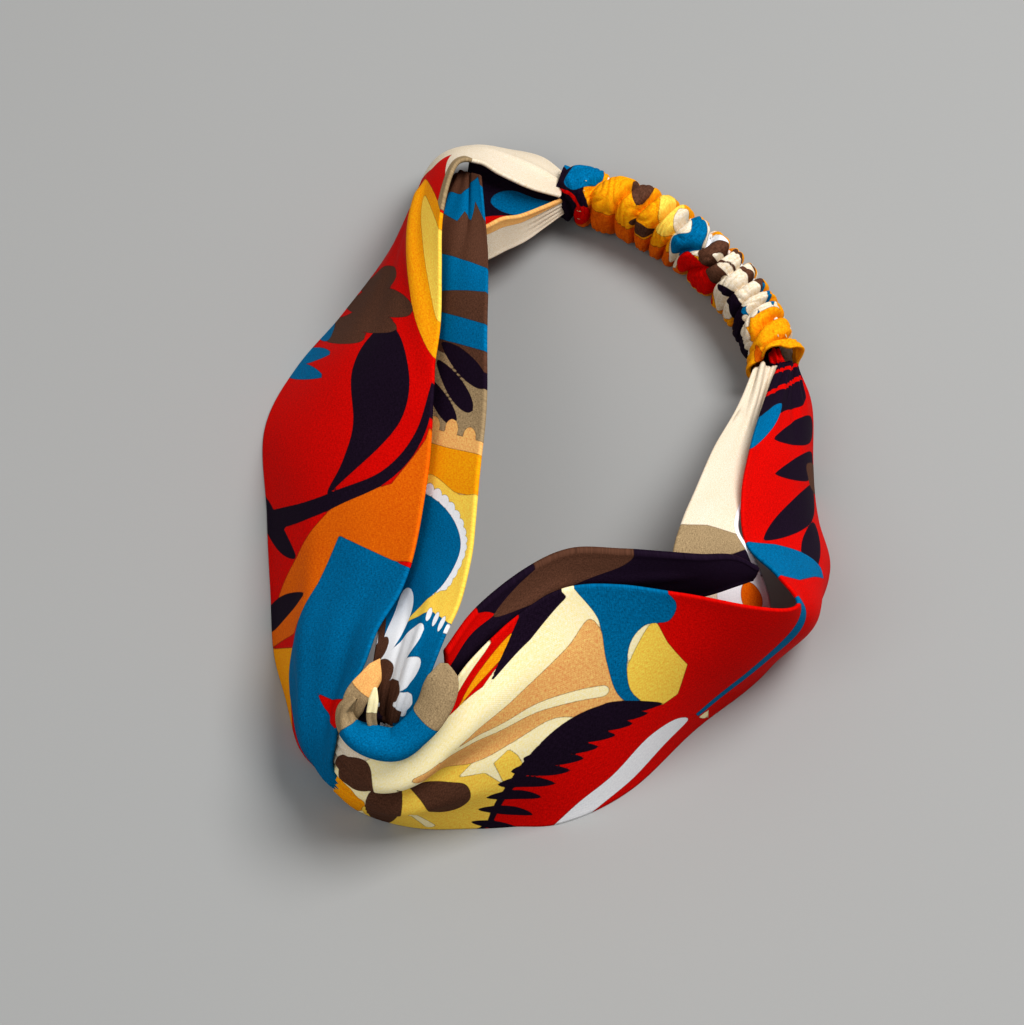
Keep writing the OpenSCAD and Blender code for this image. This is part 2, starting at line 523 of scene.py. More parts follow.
@dataclass(frozen=True)
class KnittedElastic:
    """White elastic with raised ribs along it and a knit across them."""

    name: str = "knitted_elastic_band"
    rib: float = 1.4

    def make(self) -> bpy.types.Material:
        """Build the material from the band's own map."""
        bench = Bench(self.name)
        place = bench.node("ShaderNodeUVMap", {"uv_map": PRINT_UV}, {}).outputs[0]
        along, over, _ = bench.parts(place)
        ribs = (over * (2 * math.pi / (self.rib * MM))).wave()
        knit = (along * (2 * math.pi / (0.9 * MM))).wave()
        fuzz = bench.noise(bench.stretched(place, (1500.0, 1500.0, 1.0)), 1.0, 3)
        height = ribs * 0.5 + knit * 0.25 + fuzz * 0.3
        share = (ribs * 0.3 + knit * 0.15 + fuzz * 0.4 + 0.2).held()
        colour = bench.mix(share, (0.62, 0.60, 0.56, 1), (0.86, 0.85, 0.82, 1))
        return bench.surface(Base_Color=colour, Roughness=fuzz * 0.2 + 0.68, Sheen_Weight=0.3,
                             Normal=bench.bump(height, 0.6, 0.0003))


@dataclass(frozen=True)
class SewingThread:
    """Twisted polyester thread."""

    name: str = "sewing_thread_twist"
    colour: tuple[int, int, int] = (226, 206, 158)

    def make(self) -> bpy.types.Material:
        """Build the material on object coordinates."""
        bench = Bench(self.name)
        place = bench.node("ShaderNodeTexCoord", {}, {}).outputs["Object"]
        x, y, z = bench.parts(place)
        twist = ((x + y + z) * 16000.0).wave()
        fuzz = bench.noise(place, 4000.0, 2)
        colour = bench.mix((twist * 0.3 + fuzz * 0.5 + 0.2).held(), (0.42, 0.32, 0.16, 1),
                           linear(self.colour))
        return bench.surface(Base_Color=colour, Roughness=fuzz * 0.2 + 0.45, Sheen_Weight=0.2,
                             Normal=bench.bump(twist * 0.5 + fuzz, 0.5, 0.0001))


@dataclass(frozen=True)
class StudioPaper:
    """Matt pale grey paper for the studio floor."""

    name: str = "studio_paper"
    shade: float = 0.34

    def make(self) -> bpy.types.Material:
        """Build the material on object coordinates."""
        bench = Bench(self.name)
        place = bench.node("ShaderNodeTexCoord", {}, {}).outputs["Object"]
        mottle = bench.noise(place, 3.0, 3)
        tooth = bench.noise(place, 900.0, 2)
        low, high = self.shade * 0.97, self.shade * 1.03
        colour = bench.mix(mottle, (low, low, low * 0.985, 1), (high, high, high * 0.985, 1))
        return bench.surface(Base_Color=colour, Roughness=tooth * 0.1 + 0.85,
                             Specular_IOR_Level=0.1, Normal=bench.bump(tooth, 0.05, 0.0002))


# ---------------------------------------------------------------------------
# Making pieces


@dataclass
class Piece:
    """A closed cloth mesh as rings of points with their places on the flat cloth."""

    name: str
    rings: np.ndarray
    cloth: np.ndarray
    material: bpy.types.Material
    design: Print | None = None

    def _faces(self) -> list[tuple[int, int, int, int]]:
        """List the faces over the rings and the two closed ends."""
        count, n = self.rings.shape[:2]
        faces = [
            (i * n + k, i * n + (k + 1) % n, (i + 1) * n + (k + 1) % n, (i + 1) * n + k)
            for i in range(count - 1) for k in range(n)
        ]
        last = (count - 1) * n
        for k in range(n // 2 - 1):
            faces.append((k + 1, k, n - 1 - k, n - 2 - k))
            faces.append((last + k, last + k + 1, last + n - 2 - k, last + n - 1 - k))
        return faces

    def build(self) -> bpy.types.Object:
        """Make the object, with outward faces, its cloth map and its dye fields.

        Returns:
            The new object, at the origin.
        """
        points = self.rings.reshape(-1, 3) * MM
        points[:, 2] = np.maximum(points[:, 2], 0.0001)
        faces = self._faces()
        quads = np.asarray(faces)
        a, b, c, d = (points[quads[:, k]] for k in range(4))
        volume = (np.einsum("ij,ij->i", a, np.cross(b, c)) + np.einsum("ij,ij->i", a, np.cross(c, d))).sum()
        if volume < 0:
            faces = [face[::-1] for face in faces]
        mesh = bpy.data.meshes.new(self.name)
        mesh.from_pydata(points.tolist(), [], faces)
        flat = self.cloth.reshape(-1, 2)
        corners = np.zeros(len(mesh.loops), np.int32)
        mesh.loops.foreach_get("vertex_index", corners)
        layer = mesh.uv_layers.new(name=PRINT_UV)
        layer.data.foreach_set("uv", (flat[corners] * MM).astype(np.float32).ravel())
        if self.design is not None:
            fields = self.design.fields(flat)
            for group in range(len(DYES) // 3):
                store = mesh.attributes.new(f"dye_{group}", "FLOAT_VECTOR", "POINT")
                part = fields[:, 3 * group:3 * group + 3].astype(np.float32)
                store.data.foreach_set("vector", np.ascontiguousarray(part).ravel())
        mesh.polygons.foreach_set("use_smooth", [True] * len(mesh.polygons))
        mesh.materials.append(self.material)
        mesh.update()
        obj = bpy.data.objects.new(self.name, mesh)
        bpy.context.scene.collection.objects.link(obj)
        LOG.info("%s: %d faces", self.name, len(mesh.polygons))
        return obj


@dataclass(frozen=True)
class Crease:
    """A soft ridge, or a valley where its depth is negative, along a line on the cloth."""

    start: Point2
    end: Point2
    wide: float
    depth: float
    ends: Point2 = (1, 0)

    def at(self, u: np.ndarray, v: np.ndarray) -> np.ndarray:
        """Give the crease's height over the cloth."""
        a, b = np.asarray(self.start, float), np.asarray(self.end, float)
        edge = b - a
        t = np.clip(((u - a[0]) * edge[0] + (v - a[1]) * edge[1]) / (edge @ edge), 0, 1)
        apart = np.hypot(u - a[0] - t * edge[0], v - a[1] - t * edge[1])
        lift = self.ends[0] + (self.ends[1] - self.ends[0]) * smooth(0, 1, t)
        return self.depth * lift * np.exp(-((apart / self.wide) ** 2))


@dataclass(frozen=True)
class Ribbon:
    """A folded band of doubled cloth between a lower and an upper edge."""

    name: str
    side: int
    foot: tuple[Point3, ...]
    top: tuple[Point3, ...]
    swell: float
    width: float
    design: Print
    creases: tuple[Crease, ...] = ()
    thick: float = 1.1
    step: float = 0.8
    seed: int = 1
    flutter: float = 0.6
    gathers: Point2 = (0, 0)
    pleat_spacing: float = 9
    pleat_reach: float = 24
    rim_swell: float = 0.2
    rim_reach: float = 3

    def build(self, material: bpy.types.Material) -> bpy.types.Object:
        """Make the band as a closed mesh.

        Args:
            material: The cloth.

        Returns:
            The band's object.
        """
        length = run_length(curve(self.foot, np.linspace(0, 1, 90)) * 0.5
                            + curve(self.top, np.linspace(0, 1, 90)) * 0.5)[-1]
        count, rows = max(8, int(length / self.step)), max(8, int(self.width / self.step))
        u, v = np.linspace(0, 1, count + 1), np.linspace(0, 1, rows + 1)
        low, high = curve(self.foot, u), curve(self.top, u)
        along = unit(np.gradient(low, axis=0)) + unit(np.gradient(high, axis=0))
        out = unit(-self.side * np.cross(high - low, along))
        wide = np.linalg.norm(high - low, axis=1)
        bulge = (self.swell * np.minimum(1, wide / 60))[:, None] * np.sin(np.pi * v)[None]
        skin = low[:, None] * (1 - v)[None, :, None] + high[:, None] * v[None, :, None]
        skin = skin + out[:, None] * bulge[..., None]
        run = run_length(skin[:, rows // 2])
        cloth_u, cloth_v = np.meshgrid(run, v * self.width, indexing="ij")
        lift = sum((crease.at(cloth_u, cloth_v) for crease in self.creases), np.zeros_like(cloth_u))
        lift = lift + self.flutter * Ripple(self.seed, 70).at(cloth_u, cloth_v * 0.6)
        for reach, depth in ((cloth_u, self.gathers[0]), (run[-1] - cloth_u, self.gathers[1])):
            sway = 1.5 * Ripple(self.seed + 3, 60).at(cloth_u, cloth_v)
            pleat = np.sin(cloth_v * 2 * np.pi / self.pleat_spacing + sway)
            fade = 1 - smooth(0, self.pleat_reach, reach)
            lift = lift + depth * pleat * fade * np.sin(np.pi * v)[None] ** 0.5
        skin = skin + out[:, None] * lift[..., None]
        normal = unit(-self.side * np.cross(np.gradient(skin, axis=1), np.gradient(skin, axis=0)))
        rim = 1 + self.rim_swell * np.exp(-(((v[None] * self.width) / self.rim_reach) ** 2)) \
            + self.rim_swell * np.exp(-((((1 - v[None]) * self.width) / self.rim_reach) ** 2))
        half = 0.5 * self.thick * rim[..., None] * np.ones((count + 1, 1, 1))
        outer, inner = skin + normal * half, skin - normal * half
        over = unit(high - low)[:, None]

        def rim_point(row: int, way: float, tilt: float) -> np.ndarray:
            """Give the ring of points round a folded edge."""
            edge, up, size = skin[:, row:row + 1], normal[:, row:row + 1], half[:, row:row + 1]
            return edge + way * over * size * 0.87 + tilt * up * size * 0.5

        ring = np.concatenate([rim_point(0, -1, 1), outer, rim_point(rows, 1, 1), rim_point(rows, 1, -1),
                               inner[:, ::-1], rim_point(0, -1, -1)], axis=1)
        flat = np.stack([cloth_u, cloth_v], -1)
        cloth = np.concatenate([flat[:, :1], flat, flat[:, -1:], flat[:, -1:], flat[:, ::-1], flat[:, :1]],
                               axis=1)
        return Piece(self.name, ring, cloth, material, self.design).build()


@dataclass(frozen=True)
class Roll:
    """A soft roll of bunched cloth along a curve, with folds along it."""

    name: str
    path: tuple[Point3, ...]
    sizes: tuple[Point2, ...]
    design: Print
    lean: Point3 = (0, 0, 1)
    folds: int = 5
    fold_depth: float = 0.5
    seed: int = 2
    round_ends: bool = True

    def build(self, material: bpy.types.Material) -> bpy.types.Object:
        """Make the roll as a closed mesh.

        Args:
            material: The cloth.

        Returns:
            The roll's object.
        """
        length = run_length(curve(self.path, np.linspace(0, 1, 90)))[-1]
        count, n = max(10, int(length / 0.7)), 48
        u = np.linspace(0, 1, count + 1)
        line, size = curve(self.path, u), curve(self.sizes, u)
        along = unit(np.gradient(line, axis=0))
        wide = unit(np.cross(along, np.asarray(self.lean, float)))
        up = unit(np.cross(wide, along))
        angle = (np.arange(n) + 0.5) * 2 * np.pi / n
        run = run_length(line)
        turn, place = np.meshgrid(angle, run)
        shape = 1 + self.fold_depth / np.maximum(size.min(axis=1), 1)[:, None] * (
            np.sin(self.folds * turn + 0.06 * place + 0.8 * Ripple(self.seed, 25).at(place, turn * 4)))
        if self.round_ends:
            ends = np.minimum(run, run[-1] - run)
            shape = shape * np.sqrt(np.clip(ends / 4 + 0.15, 0, 1))[:, None]
        spot = shape[..., None] * (wide[:, None] * (size[:, :1] * np.cos(angle))[..., None]
                                   + up[:, None] * (size[:, 1:] * np.sin(angle))[..., None])
        cloth = np.stack([place, turn * 8], -1)
        return Piece(self.name, line[:, None] + spot, cloth, material, self.design).build()


@dataclass(frozen=True)
class BackLine:
    """The middle line of the elastic back, from the left loop's end to the right one's."""

    points: tuple[Point3, ...] = (
        (-44, 100, 13), (-24, 103, 13), (-4, 101, 13), (16, 94, 13), (31, 84, 13), (43, 72, 13))

    def frame(self, u: np.ndarray) -> tuple[np.ndarray, np.ndarray, np.ndarray]:
        """Give the places, directions and outward directions at shares of the line."""
        line = curve(self.points, u)
        ahead = curve(self.points, np.minimum(u + 0.01, 1)) - curve(self.points, np.maximum(u - 0.01, 0))
        along = unit(ahead)
        return line, along, unit(np.cross(along, np.array([0.0, 0.0, 1.0])))


@dataclass(frozen=True)
class GatheredSleeve:
    """The satin sleeve, gathered into irregular puffs by the elastic inside it."""

    line: BackLine = BackLine()
    start: float = 0.0
    end: float = 0.975
    height: float = 19.0
    depth: float = 12.6
    wall: float = 0.9
    puff: float = 4.1
    spacing: float = 6.6
    skew: float = 0.13
    valley: float = 0.66
    crinkle: float = 0.5
    crinkle_spacing: float = 3.1
    seed: int = 11
    design: Print = Print(Dye.GOLD)

    def build(self, material: bpy.types.Material) -> bpy.types.Object:
        """Make the sleeve as a tube that is open right through.

        Args:
            material: The cloth.

        Returns:
            The sleeve's object.
        """
        count, n = 420, 144
        u = np.linspace(self.start, self.end, count + 1)
        line, along, out = self.line.frame(u)
        run = run_length(line)
        angle = np.arange(n) * 2 * np.pi / n
        turn, place = np.meshgrid(angle, run)
        wobble = Ripple(self.seed, 60).at(place, np.sin(turn) * 12) * 0.45 \
            + Ripple(self.seed + 1, 44).at(np.cos(turn) * 12, place * 0.7) * 0.3
        pull = place / self.spacing + 0.6 * wobble + 0.35 * np.sin(turn + place / 17)
        pull = pull + self.skew * np.sin(2 * np.pi * pull)
        puffs = np.abs(np.sin(np.pi * pull)) ** 0.8
        fine = place / self.crinkle_spacing + 0.8 * Ripple(self.seed + 2, 20).at(place, turn * 8)
        small = np.abs(np.sin(np.pi * fine)) ** 0.8
        strength = 0.88 + 0.22 * Ripple(self.seed + 4, 34).at(place, np.cos(turn) * 12)
        edge = np.abs(np.sin(turn)) ** 2
        lift = self.puff * strength * (0.75 + 0.5 * edge) * (puffs - self.valley)
        lift = lift + self.crinkle * (small - 0.5)
        fringe = np.minimum(place, run[-1] - place)
        lift = lift * (0.35 + 0.65 * smooth(0, 4, fringe))
        flare = 1.5 * np.exp(-((run[-1] - place) / 2.2) ** 2) - 0.8 * np.exp(-((place / 4) ** 2))
        ruffle = 1.1 * np.exp(-((run[-1] - place) / 3.5) ** 2) * np.sin(5 * turn + 1)
        lift = lift + flare + ruffle
        shift = 0.9 * Ripple(self.seed + 6, 24).at(place, np.sin(turn) * 9) * smooth(0, 6, fringe)

        def shell(inset: float) -> np.ndarray:
            """Give the rings of the outer face, or of the inner one when inset."""
            over, high = np.cos(angle), np.sin(angle)
            x = (self.depth / 2 - inset) * np.sign(over) * np.abs(over) ** 0.8 + over * lift
            z = (self.height / 2 - inset) * np.sign(high) * np.abs(high) ** 0.8 + high * lift * 1.1
            rings = line[:, None] + out[:, None] * x[..., None] + along[:, None] * shift[..., None]
            rings[..., 2] += z
            return rings

        rings = np.concatenate([shell(0), shell(self.wall)[::-1]])
        centre = math.radians(55)
        wrap = (centre - turn + np.pi) % (2 * np.pi) - np.pi
        flat = np.stack([place, wrap * 9.5], -1)
        cloth = np.concatenate([flat, flat[::-1]])
        return Tube("gathered_satin_sleeve", rings, cloth, material, self.design).build()


@dataclass
class Tube(Piece):
    """A piece whose rings close on themselves, so that it has a hole right through."""

    def _faces(self) -> list[tuple[int, int, int, int]]:
        """List the faces, where the last ring joins the first one."""
        count, n = self.rings.shape[:2]
        return [
            (i * n + k, i * n + (k + 1) % n, (i + 1) % count * n + (k + 1) % n, (i + 1) % count * n + k)
            for i in range(count) for k in range(n)
        ]


@dataclass(frozen=True)
class ElasticBand:
    """The flat elastic that runs inside the sleeve."""

    line: BackLine = BackLine()
    start: float = 0.09
    end: float = 0.91
    width: float = 14.0
    thick: float = 1.2
    shift: float = -3.4
    crimp: Point2 = (0.12, 2.4)
    rib: Point2 = (0.08, 1.4)

    def build(self, material: bpy.types.Material) -> bpy.types.Object:
        """Make the band with a light crimp and raised ribs, each given as height and spacing."""
        count, rows = 160, 36
        u = np.linspace(self.start, self.end, count + 1)
        line, _, out = self.line.frame(u)
        run = run_length(line)
        high = np.linspace(-self.width / 2, self.width / 2, rows + 1)
        crimp = self.crimp[0] * np.sin(run[:, None] * 2 * np.pi / self.crimp[1]) \
            + self.rib[0] * np.sin(high[None] * 2 * np.pi / self.rib[1])
        middle = np.repeat(line[:, None], rows + 1, 1) + out[:, None] * self.shift
        middle[..., 2] += high[None]
        outer = middle + out[:, None] * (self.thick / 2 + crimp)[..., None]
        inner = middle - out[:, None] * (self.thick / 2 - crimp)[..., None]
        rings = np.concatenate([outer, inner[:, ::-1]], axis=1)
        flat = np.stack(np.meshgrid(run, high + self.width / 2, indexing="ij"), -1)
        cloth = np.concatenate([flat, flat[:, ::-1]], axis=1)
        return Piece("elastic_band_knit", rings, cloth, material).build()


@dataclass(frozen=True)
class StitchRow:
    """A row of stitches made by a geometry tree from their places and directions."""

    name: str
    spots: np.ndarray
    runs: np.ndarray
    length: float = 2.4
    thick: float = 0.6

    def _tree(self, material: bpy.types.Material) -> bpy.types.NodeTree:
        """Build the tree that sets one stitch at each place, along its direction."""
        tree = bpy.data.node_groups.new(f"{self.name}_tree", "GeometryNodeTree")
        face = tree.interface
        inputs = {"Geometry": "Geometry", "Stitch length": "Float", "Thread thickness": "Float",
                  "Unevenness seed": "Int"}
        for label, kind in inputs.items():
            face.new_socket(label, in_out="INPUT", socket_type=f"NodeSocket{kind}")
        face.new_socket("Geometry", in_out="OUTPUT", socket_type="NodeSocketGeometry")

        def add(kind: str, **settings: object) -> bpy.types.Node:
            """Add a node with its settings."""
            made = tree.nodes.new(kind)
            for key, value in settings.items():
                setattr(made, key, value)
            return made

        link = tree.links.new
        given, result = add("NodeGroupInput"), add("NodeGroupOutput")
        ball = add("GeometryNodeMeshUVSphere")
        ball.inputs["Segments"].default_value = 8
        ball.inputs["Rings"].default_value = 6
        ball.inputs["Radius"].default_value = 0.5
        run = add("GeometryNodeInputNamedAttribute", data_type="FLOAT_VECTOR")
        run.inputs["Name"].default_value = "run"
        aim = add("FunctionNodeAlignRotationToVector", axis="Z")
        link(run.outputs["Attribute"], aim.inputs["Vector"])
        vary = add("FunctionNodeRandomValue", data_type="FLOAT")
        vary.inputs[2].default_value = 0.85
        vary.inputs[3].default_value = 1.1
        link(given.outputs["Unevenness seed"], vary.inputs["Seed"])
        long = add("ShaderNodeMath", operation="MULTIPLY")
        link(given.outputs["Stitch length"], long.inputs[0])
        link(vary.outputs[1], long.inputs[1])
        size = add("ShaderNodeCombineXYZ")
        link(given.outputs["Thread thickness"], size.inputs[0])
        link(given.outputs["Thread thickness"], size.inputs[1])
        link(long.outputs[0], size.inputs[2])
        place = add("GeometryNodeInstanceOnPoints")
        link(given.outputs["Geometry"], place.inputs["Points"])
        link(ball.outputs["Mesh"], place.inputs["Instance"])
        link(aim.outputs["Rotation"], place.inputs["Rotation"])
        link(size.outputs[0], place.inputs["Scale"])
        real, dress = add("GeometryNodeRealizeInstances"), add("GeometryNodeSetMaterial")
        dress.inputs["Material"].default_value = material
        link(place.outputs[0], real.inputs[0])
        link(real.outputs[0], dress.inputs["Geometry"])
        link(dress.outputs[0], result.inputs[0])
        return tree

    def build(self, material: bpy.types.Material) -> bpy.types.Object:
        """Make the row as one plain mesh.

        Args:
            material: The thread.

        Returns:
            The row's object.
        """
        seed_mesh = bpy.data.meshes.new(f"{self.name}_places")
        seed_mesh.from_pydata((self.spots * MM).tolist(), [], [])
        store = seed_mesh.attributes.new("run", "FLOAT_VECTOR", "POINT")
        store.data.foreach_set("vector", unit(self.runs).astype(np.float32).ravel())
        obj = bpy.data.objects.new(self.name, seed_mesh)
        bpy.context.scene.collection.objects.link(obj)
        tree = self._tree(material)
        grow = obj.modifiers.new("stitches", "NODES")
        grow.node_group = tree
        sizes = {"Stitch length": self.length * MM, "Thread thickness": self.thick * MM, "Unevenness seed": 4}
        for item in tree.interface.items_tree:
            if item.in_out == "INPUT" and item.name in sizes:
                grow[item.identifier] = sizes[item.name]
        obj.update_tag()
        graph = bpy.context.evaluated_depsgraph_get()
        mesh = bpy.data.meshes.new_from_object(obj.evaluated_get(graph))
        obj.modifiers.remove(grow)
        obj.data = mesh
        bpy.data.meshes.remove(seed_mesh)
        mesh.polygons.foreach_set("use_smooth", [True] * len(mesh.polygons))
        if not mesh.materials:
            mesh.materials.append(material)
        LOG.info("%s: %d stitches", self.name, len(self.spots))
        return obj


# ---------------------------------------------------------------------------
# Sub-assemblies


def fan(dye: Dye, rows: tuple[tuple[Point2, Point2, float], ...]) -> tuple[Leaf, ...]:
    """Make a group of petals or lobes from their bases, tips and half widths."""
    return tuple(Leaf(dye, base, tip, half, 0.62) for base, tip, half in rows)


@dataclass
class LeftLoop:
    """The left loop: its outer band, its inner band and the folds at its ends."""

    satin: bpy.types.Material
    outer_design: Print = field(default_factory=lambda: Print(Dye.RED, (
        Patch(Dye.CREAM, ((212, -4), (213, 30), (216, 46), (224, 60), (208, 84), (264, 84), (264, -4)),
            False),
        # painted shade: this tan crescent at the back bend stands for the shaded underside of the cream cloth
        # as it turns over
        Patch(Dye.TAN, ((203, 75), (228, 73), (232, 84), (203, 84)), False),
        Patch(Dye.ORANGE, ((144, 84), (124, 79), (105, 68), (92, 43), (76, 24), (58, -4), (54, -4),
            (54, 30), (68, 48), (78, 62), (79, 84)), False),
        Patch(Dye.GOLD, ((54, -4), (50, 30), (44, 22), (30, -4)), False),
        Leaf(Dye.NAVY, (96, -8), (76, 24), 4.5, 0.4, 2),
        Leaf(Dye.NAVY, (60, -10), (65, 34), 3.5, 0.4),
        Patch(Dye.BLUE, ((84, 48), (68, 41), (52, 31), (40, 12), (29, 7), (14, 0), (-6, -6), (-6, 84),
            (76, 84), (77, 80)), False),
        Patch(Dye.RED, ((34, 54), (31, 64), (28, 84), (19, 84), (24, 68), (29, 60)), False),
        Patch(Dye.NAVY, ((158, 50), (154, 62), (142, 70), (129, 69), (116, 61), (104, 50), (97, 41),
            (108, 47), (122, 49), (138, 42), (150, 42))),
        Stroke(Dye.NAVY, ((146, 82), (124, 76), (107, 65), (97, 48), (90, 28), (86, -6)), (1.2, 3.2)),
        *fan(Dye.BROWN, (((166, -10), (165, 66), 5.5), ((172, -6), (175, 46), 5), ((158, -10), (157, 58),
            4), ((153, -8), (151, 40), 3.6))),
        *fan(Dye.BLUE, (((150, 10), (158, -10), 3.5), ((144, 22), (143, -12), 3.6), ((135, 26), (138, -12),
            3.2))),
        Patch(Dye.GOLD, ((212, 44), (203, 44), (189, 52), (175, 60), (160, 70), (151, 82), (166, 84),
            (184, 84), (203, 79))),
        Patch(Dye.LEMON, ((206, 54), (192, 64), (178, 72), (164, 80), (176, 84), (196, 80))),
    )))
    inner_design: Print = field(default_factory=lambda: Print(Dye.CREAM, (
        Patch(Dye.BROWN, ((118, -4), (118, 84), (212, 84), (212, -4)), False),
        Patch(Dye.BLUE, ((184, 28), (194, 22), (197, 40), (203, 50), (207, 76), (202, 84), (193, 84),
            (198, 66), (190, 60), (191, 48), (185, 44)), False),
        Patch(Dye.BLUE, ((170, 40), (174, 84), (163, 84), (156, 40)), False),
        Patch(Dye.BLUE, ((150, 46), (150, 84), (141, 84), (141, 46)), False),
        Patch(Dye.TAN, ((139, 40), (132, 84), (104, 84), (106, 40)), False),
        *fan(Dye.NAVY, (((140, 52), (130, 82), 4.5), ((134, 50), (120, 74), 4.2), ((128, 44), (114, 66),
            3.6))),
        Patch(Dye.PEACH, ((112, 40), (109, 84), (88, 84), (88, 40)), False),
        Scallop(Dye.PEACH, ((111, 44), (112, 64), (108, 84)), 3.5, 5),
        Patch(Dye.GOLD, ((105, 40), (105, 64), (102, 88), (88, 88), (90, 60), (90, 40))),
        Patch(Dye.LEMON, ((92, 50), (88, 72), (84, 90), (36, 90), (40, 40))),
        Scallop(Dye.WHITE, ring((66, 44), (25, 32), -80, 120), 2.5, 24),
        Oval(Dye.BLUE, (66, 44), (23, 30.5)),
        Patch(Dye.BLUE, ((52, 40), (44, 58), (38, 64), (36, 84), (8, 84), (8, 30), (26, 4), (50, 10))),
        Patch(Dye.LEMON, ((48, 84), (47, 64), (36, 28), (39, 60), (35, 84)), False),
        Scallop(Dye.WHITE, ((38, 58), (36, 70), (34, 82)), 2.4, 4),
        Patch(Dye.WHITE, ((30, -4), (26, 12), (16, 22), (6, 34), (-4, 60), (-4, -4))),
        *fan(Dye.WHITE, (((18, 0), (49, 38), 7), ((16, 0), (33, 58), 5.5), ((12, 4), (24, 68), 5), ((6, 8),
            (14, 74), 5))),
        *fan(Dye.BROWN, (((58, -2), (24, 6), 4), ((24, -6), (29, 15), 3.4), ((20, -6), (21, 28), 3.6),
            ((13, -2), (16, 54), 4), ((8, 4), (9, 62), 3.4))),
    )))
    # painted shade: the peach ground along the strip's upper edge stands for the shade next to the red fold;
    # the cream patch is the strip's own colour
    strip_colour_and_shade: Print = Print(Dye.PEACH, (
        Patch(Dye.CREAM, ((-2, 8), (28, 10), (62, 6), (62, 44), (-2, 44))),
    ))
    # painted shade: the near-black navy ground stands for the shade deep in the loop's inner wall; the blue
    # and red patches are print
    wall_print_and_shade: Print = Print(Dye.NAVY, (
        Patch(Dye.BLUE, ((8, 24), (24, 14), (30, 26), (16, 34))),
        Patch(Dye.RED, ((-2, -2), (14, -2), (20, 14), (4, 16))),
    ))

    def build(self) -> list[bpy.types.Object]:
        """Build the bands of the loop."""
        outer = Ribbon(
            "left_outer_band", -1,
            ((0, -101, 4), (-9, -101, 2), (-17, -99, 0), (-25, -95, 0), (-35, -84, 0), (-46, -72, 0),
             (-57, -54, 0), (-69, -34, 0), (-84, -10, 0), (-87, 14, 0), (-85, 36, 1), (-82, 58, 3),
             (-82, 78, 5), (-82, 92, 7), (-75, 102, 8), (-66, 107, 9), (-55, 108, 12), (-45, 104, 15)),
            ((-1, -105, 11), (-6, -107, 24), (-7, -103, 35), (-8, -96, 43), (-7, -86, 50), (-8, -76, 53),
             (-8, -64, 56), (-12, -48, 58), (-19, -28, 57), (-29, -6, 55), (-39, 16, 52), (-50, 36, 50),
             (-60, 56, 47), (-66, 75, 43), (-62, 82, 38), (-56, 84, 33), (-48, 88, 26), (-41, 94, 19)),
            5, 80, self.outer_design,
            (Crease((258, 44), (225, 50), 6, 0.8), Crease((24, 42), (110, 30), 8, 2.2),
             Crease((26, 64), (96, 70), 7, -1.8), Crease((205, 44), (150, 78), 5, 1.6, (1, 0.4)),
             Crease((190, 30), (130, 50), 8, -1.2)),
            seed=5, gathers=(0.4, 0))
        inner = Ribbon(
            "left_inner_band", -1,
            ((3, -96, 32), (-2, -89, 42), (-5, -83, 48), (-8, -76, 50), (-14, -66, 44), (-26, -54, 30),
             (-40, -40, 20), (-51, -24, 18), (-59, -2, 18), (-64, 20, 20), (-68, 40, 22), (-72, 58, 26),
             (-71, 70, 29), (-70, 82, 27)),
            ((9, -94, 38), (12, -91, 50), (13, -84, 60), (13, -76, 66), (12, -66, 68), (8, -54, 69),
             (4, -44, 68), (-1, -32, 67), (-9, -15, 65), (-18, 4, 63), (-28, 24, 60), (-37, 40, 54),
             (-46, 56, 44), (-60, 79, 36)),
            2, 80, self.inner_design,
            (Crease((0, 52), (70, 56), 6, 1.2), Crease((0, 26), (56, 34), 5, -1.2), Crease((205, 24),
                (110, 30), 6, 0.9),
             Crease((206, 50), (150, 62), 5, -1.0)),
            seed=8, gathers=(0.5, 0))
        strip = Ribbon(
            "left_lower_strip", 1,
            ((-66, 55, 34), (-58, 59, 34), (-52, 65, 32), (-49, 72, 30), (-46, 78, 26), (-43, 86, 22),
             (-41, 95, 16)),
            ((-64, 51, 22), (-56, 56, 21), (-50, 63, 20), (-47, 70, 18), (-44, 77, 16), (-42, 86, 13),
             (-40, 95, 10)),
            1, 40, self.strip_colour_and_shade, thick=1.1, step=0.7, seed=12, flutter=0.2, gathers=(0, 0.12))
        wall = Ribbon(
            "left_inner_wall", 1,
            ((-57, 60, 16), (-54, 66, 16), (-50, 74, 15), (-46, 82, 14), (-42, 92, 13)),
            ((-66, 84, 34), (-60, 87, 30), (-54, 89, 25), (-48, 92, 20), (-42, 96, 16)),
            -2, 40, self.wall_print_and_shade, thick=1.1, step=0.7, seed=13, flutter=0.2)
        return [outer.build(self.satin), inner.build(self.satin), strip.build(self.satin),
                wall.build(self.satin)]


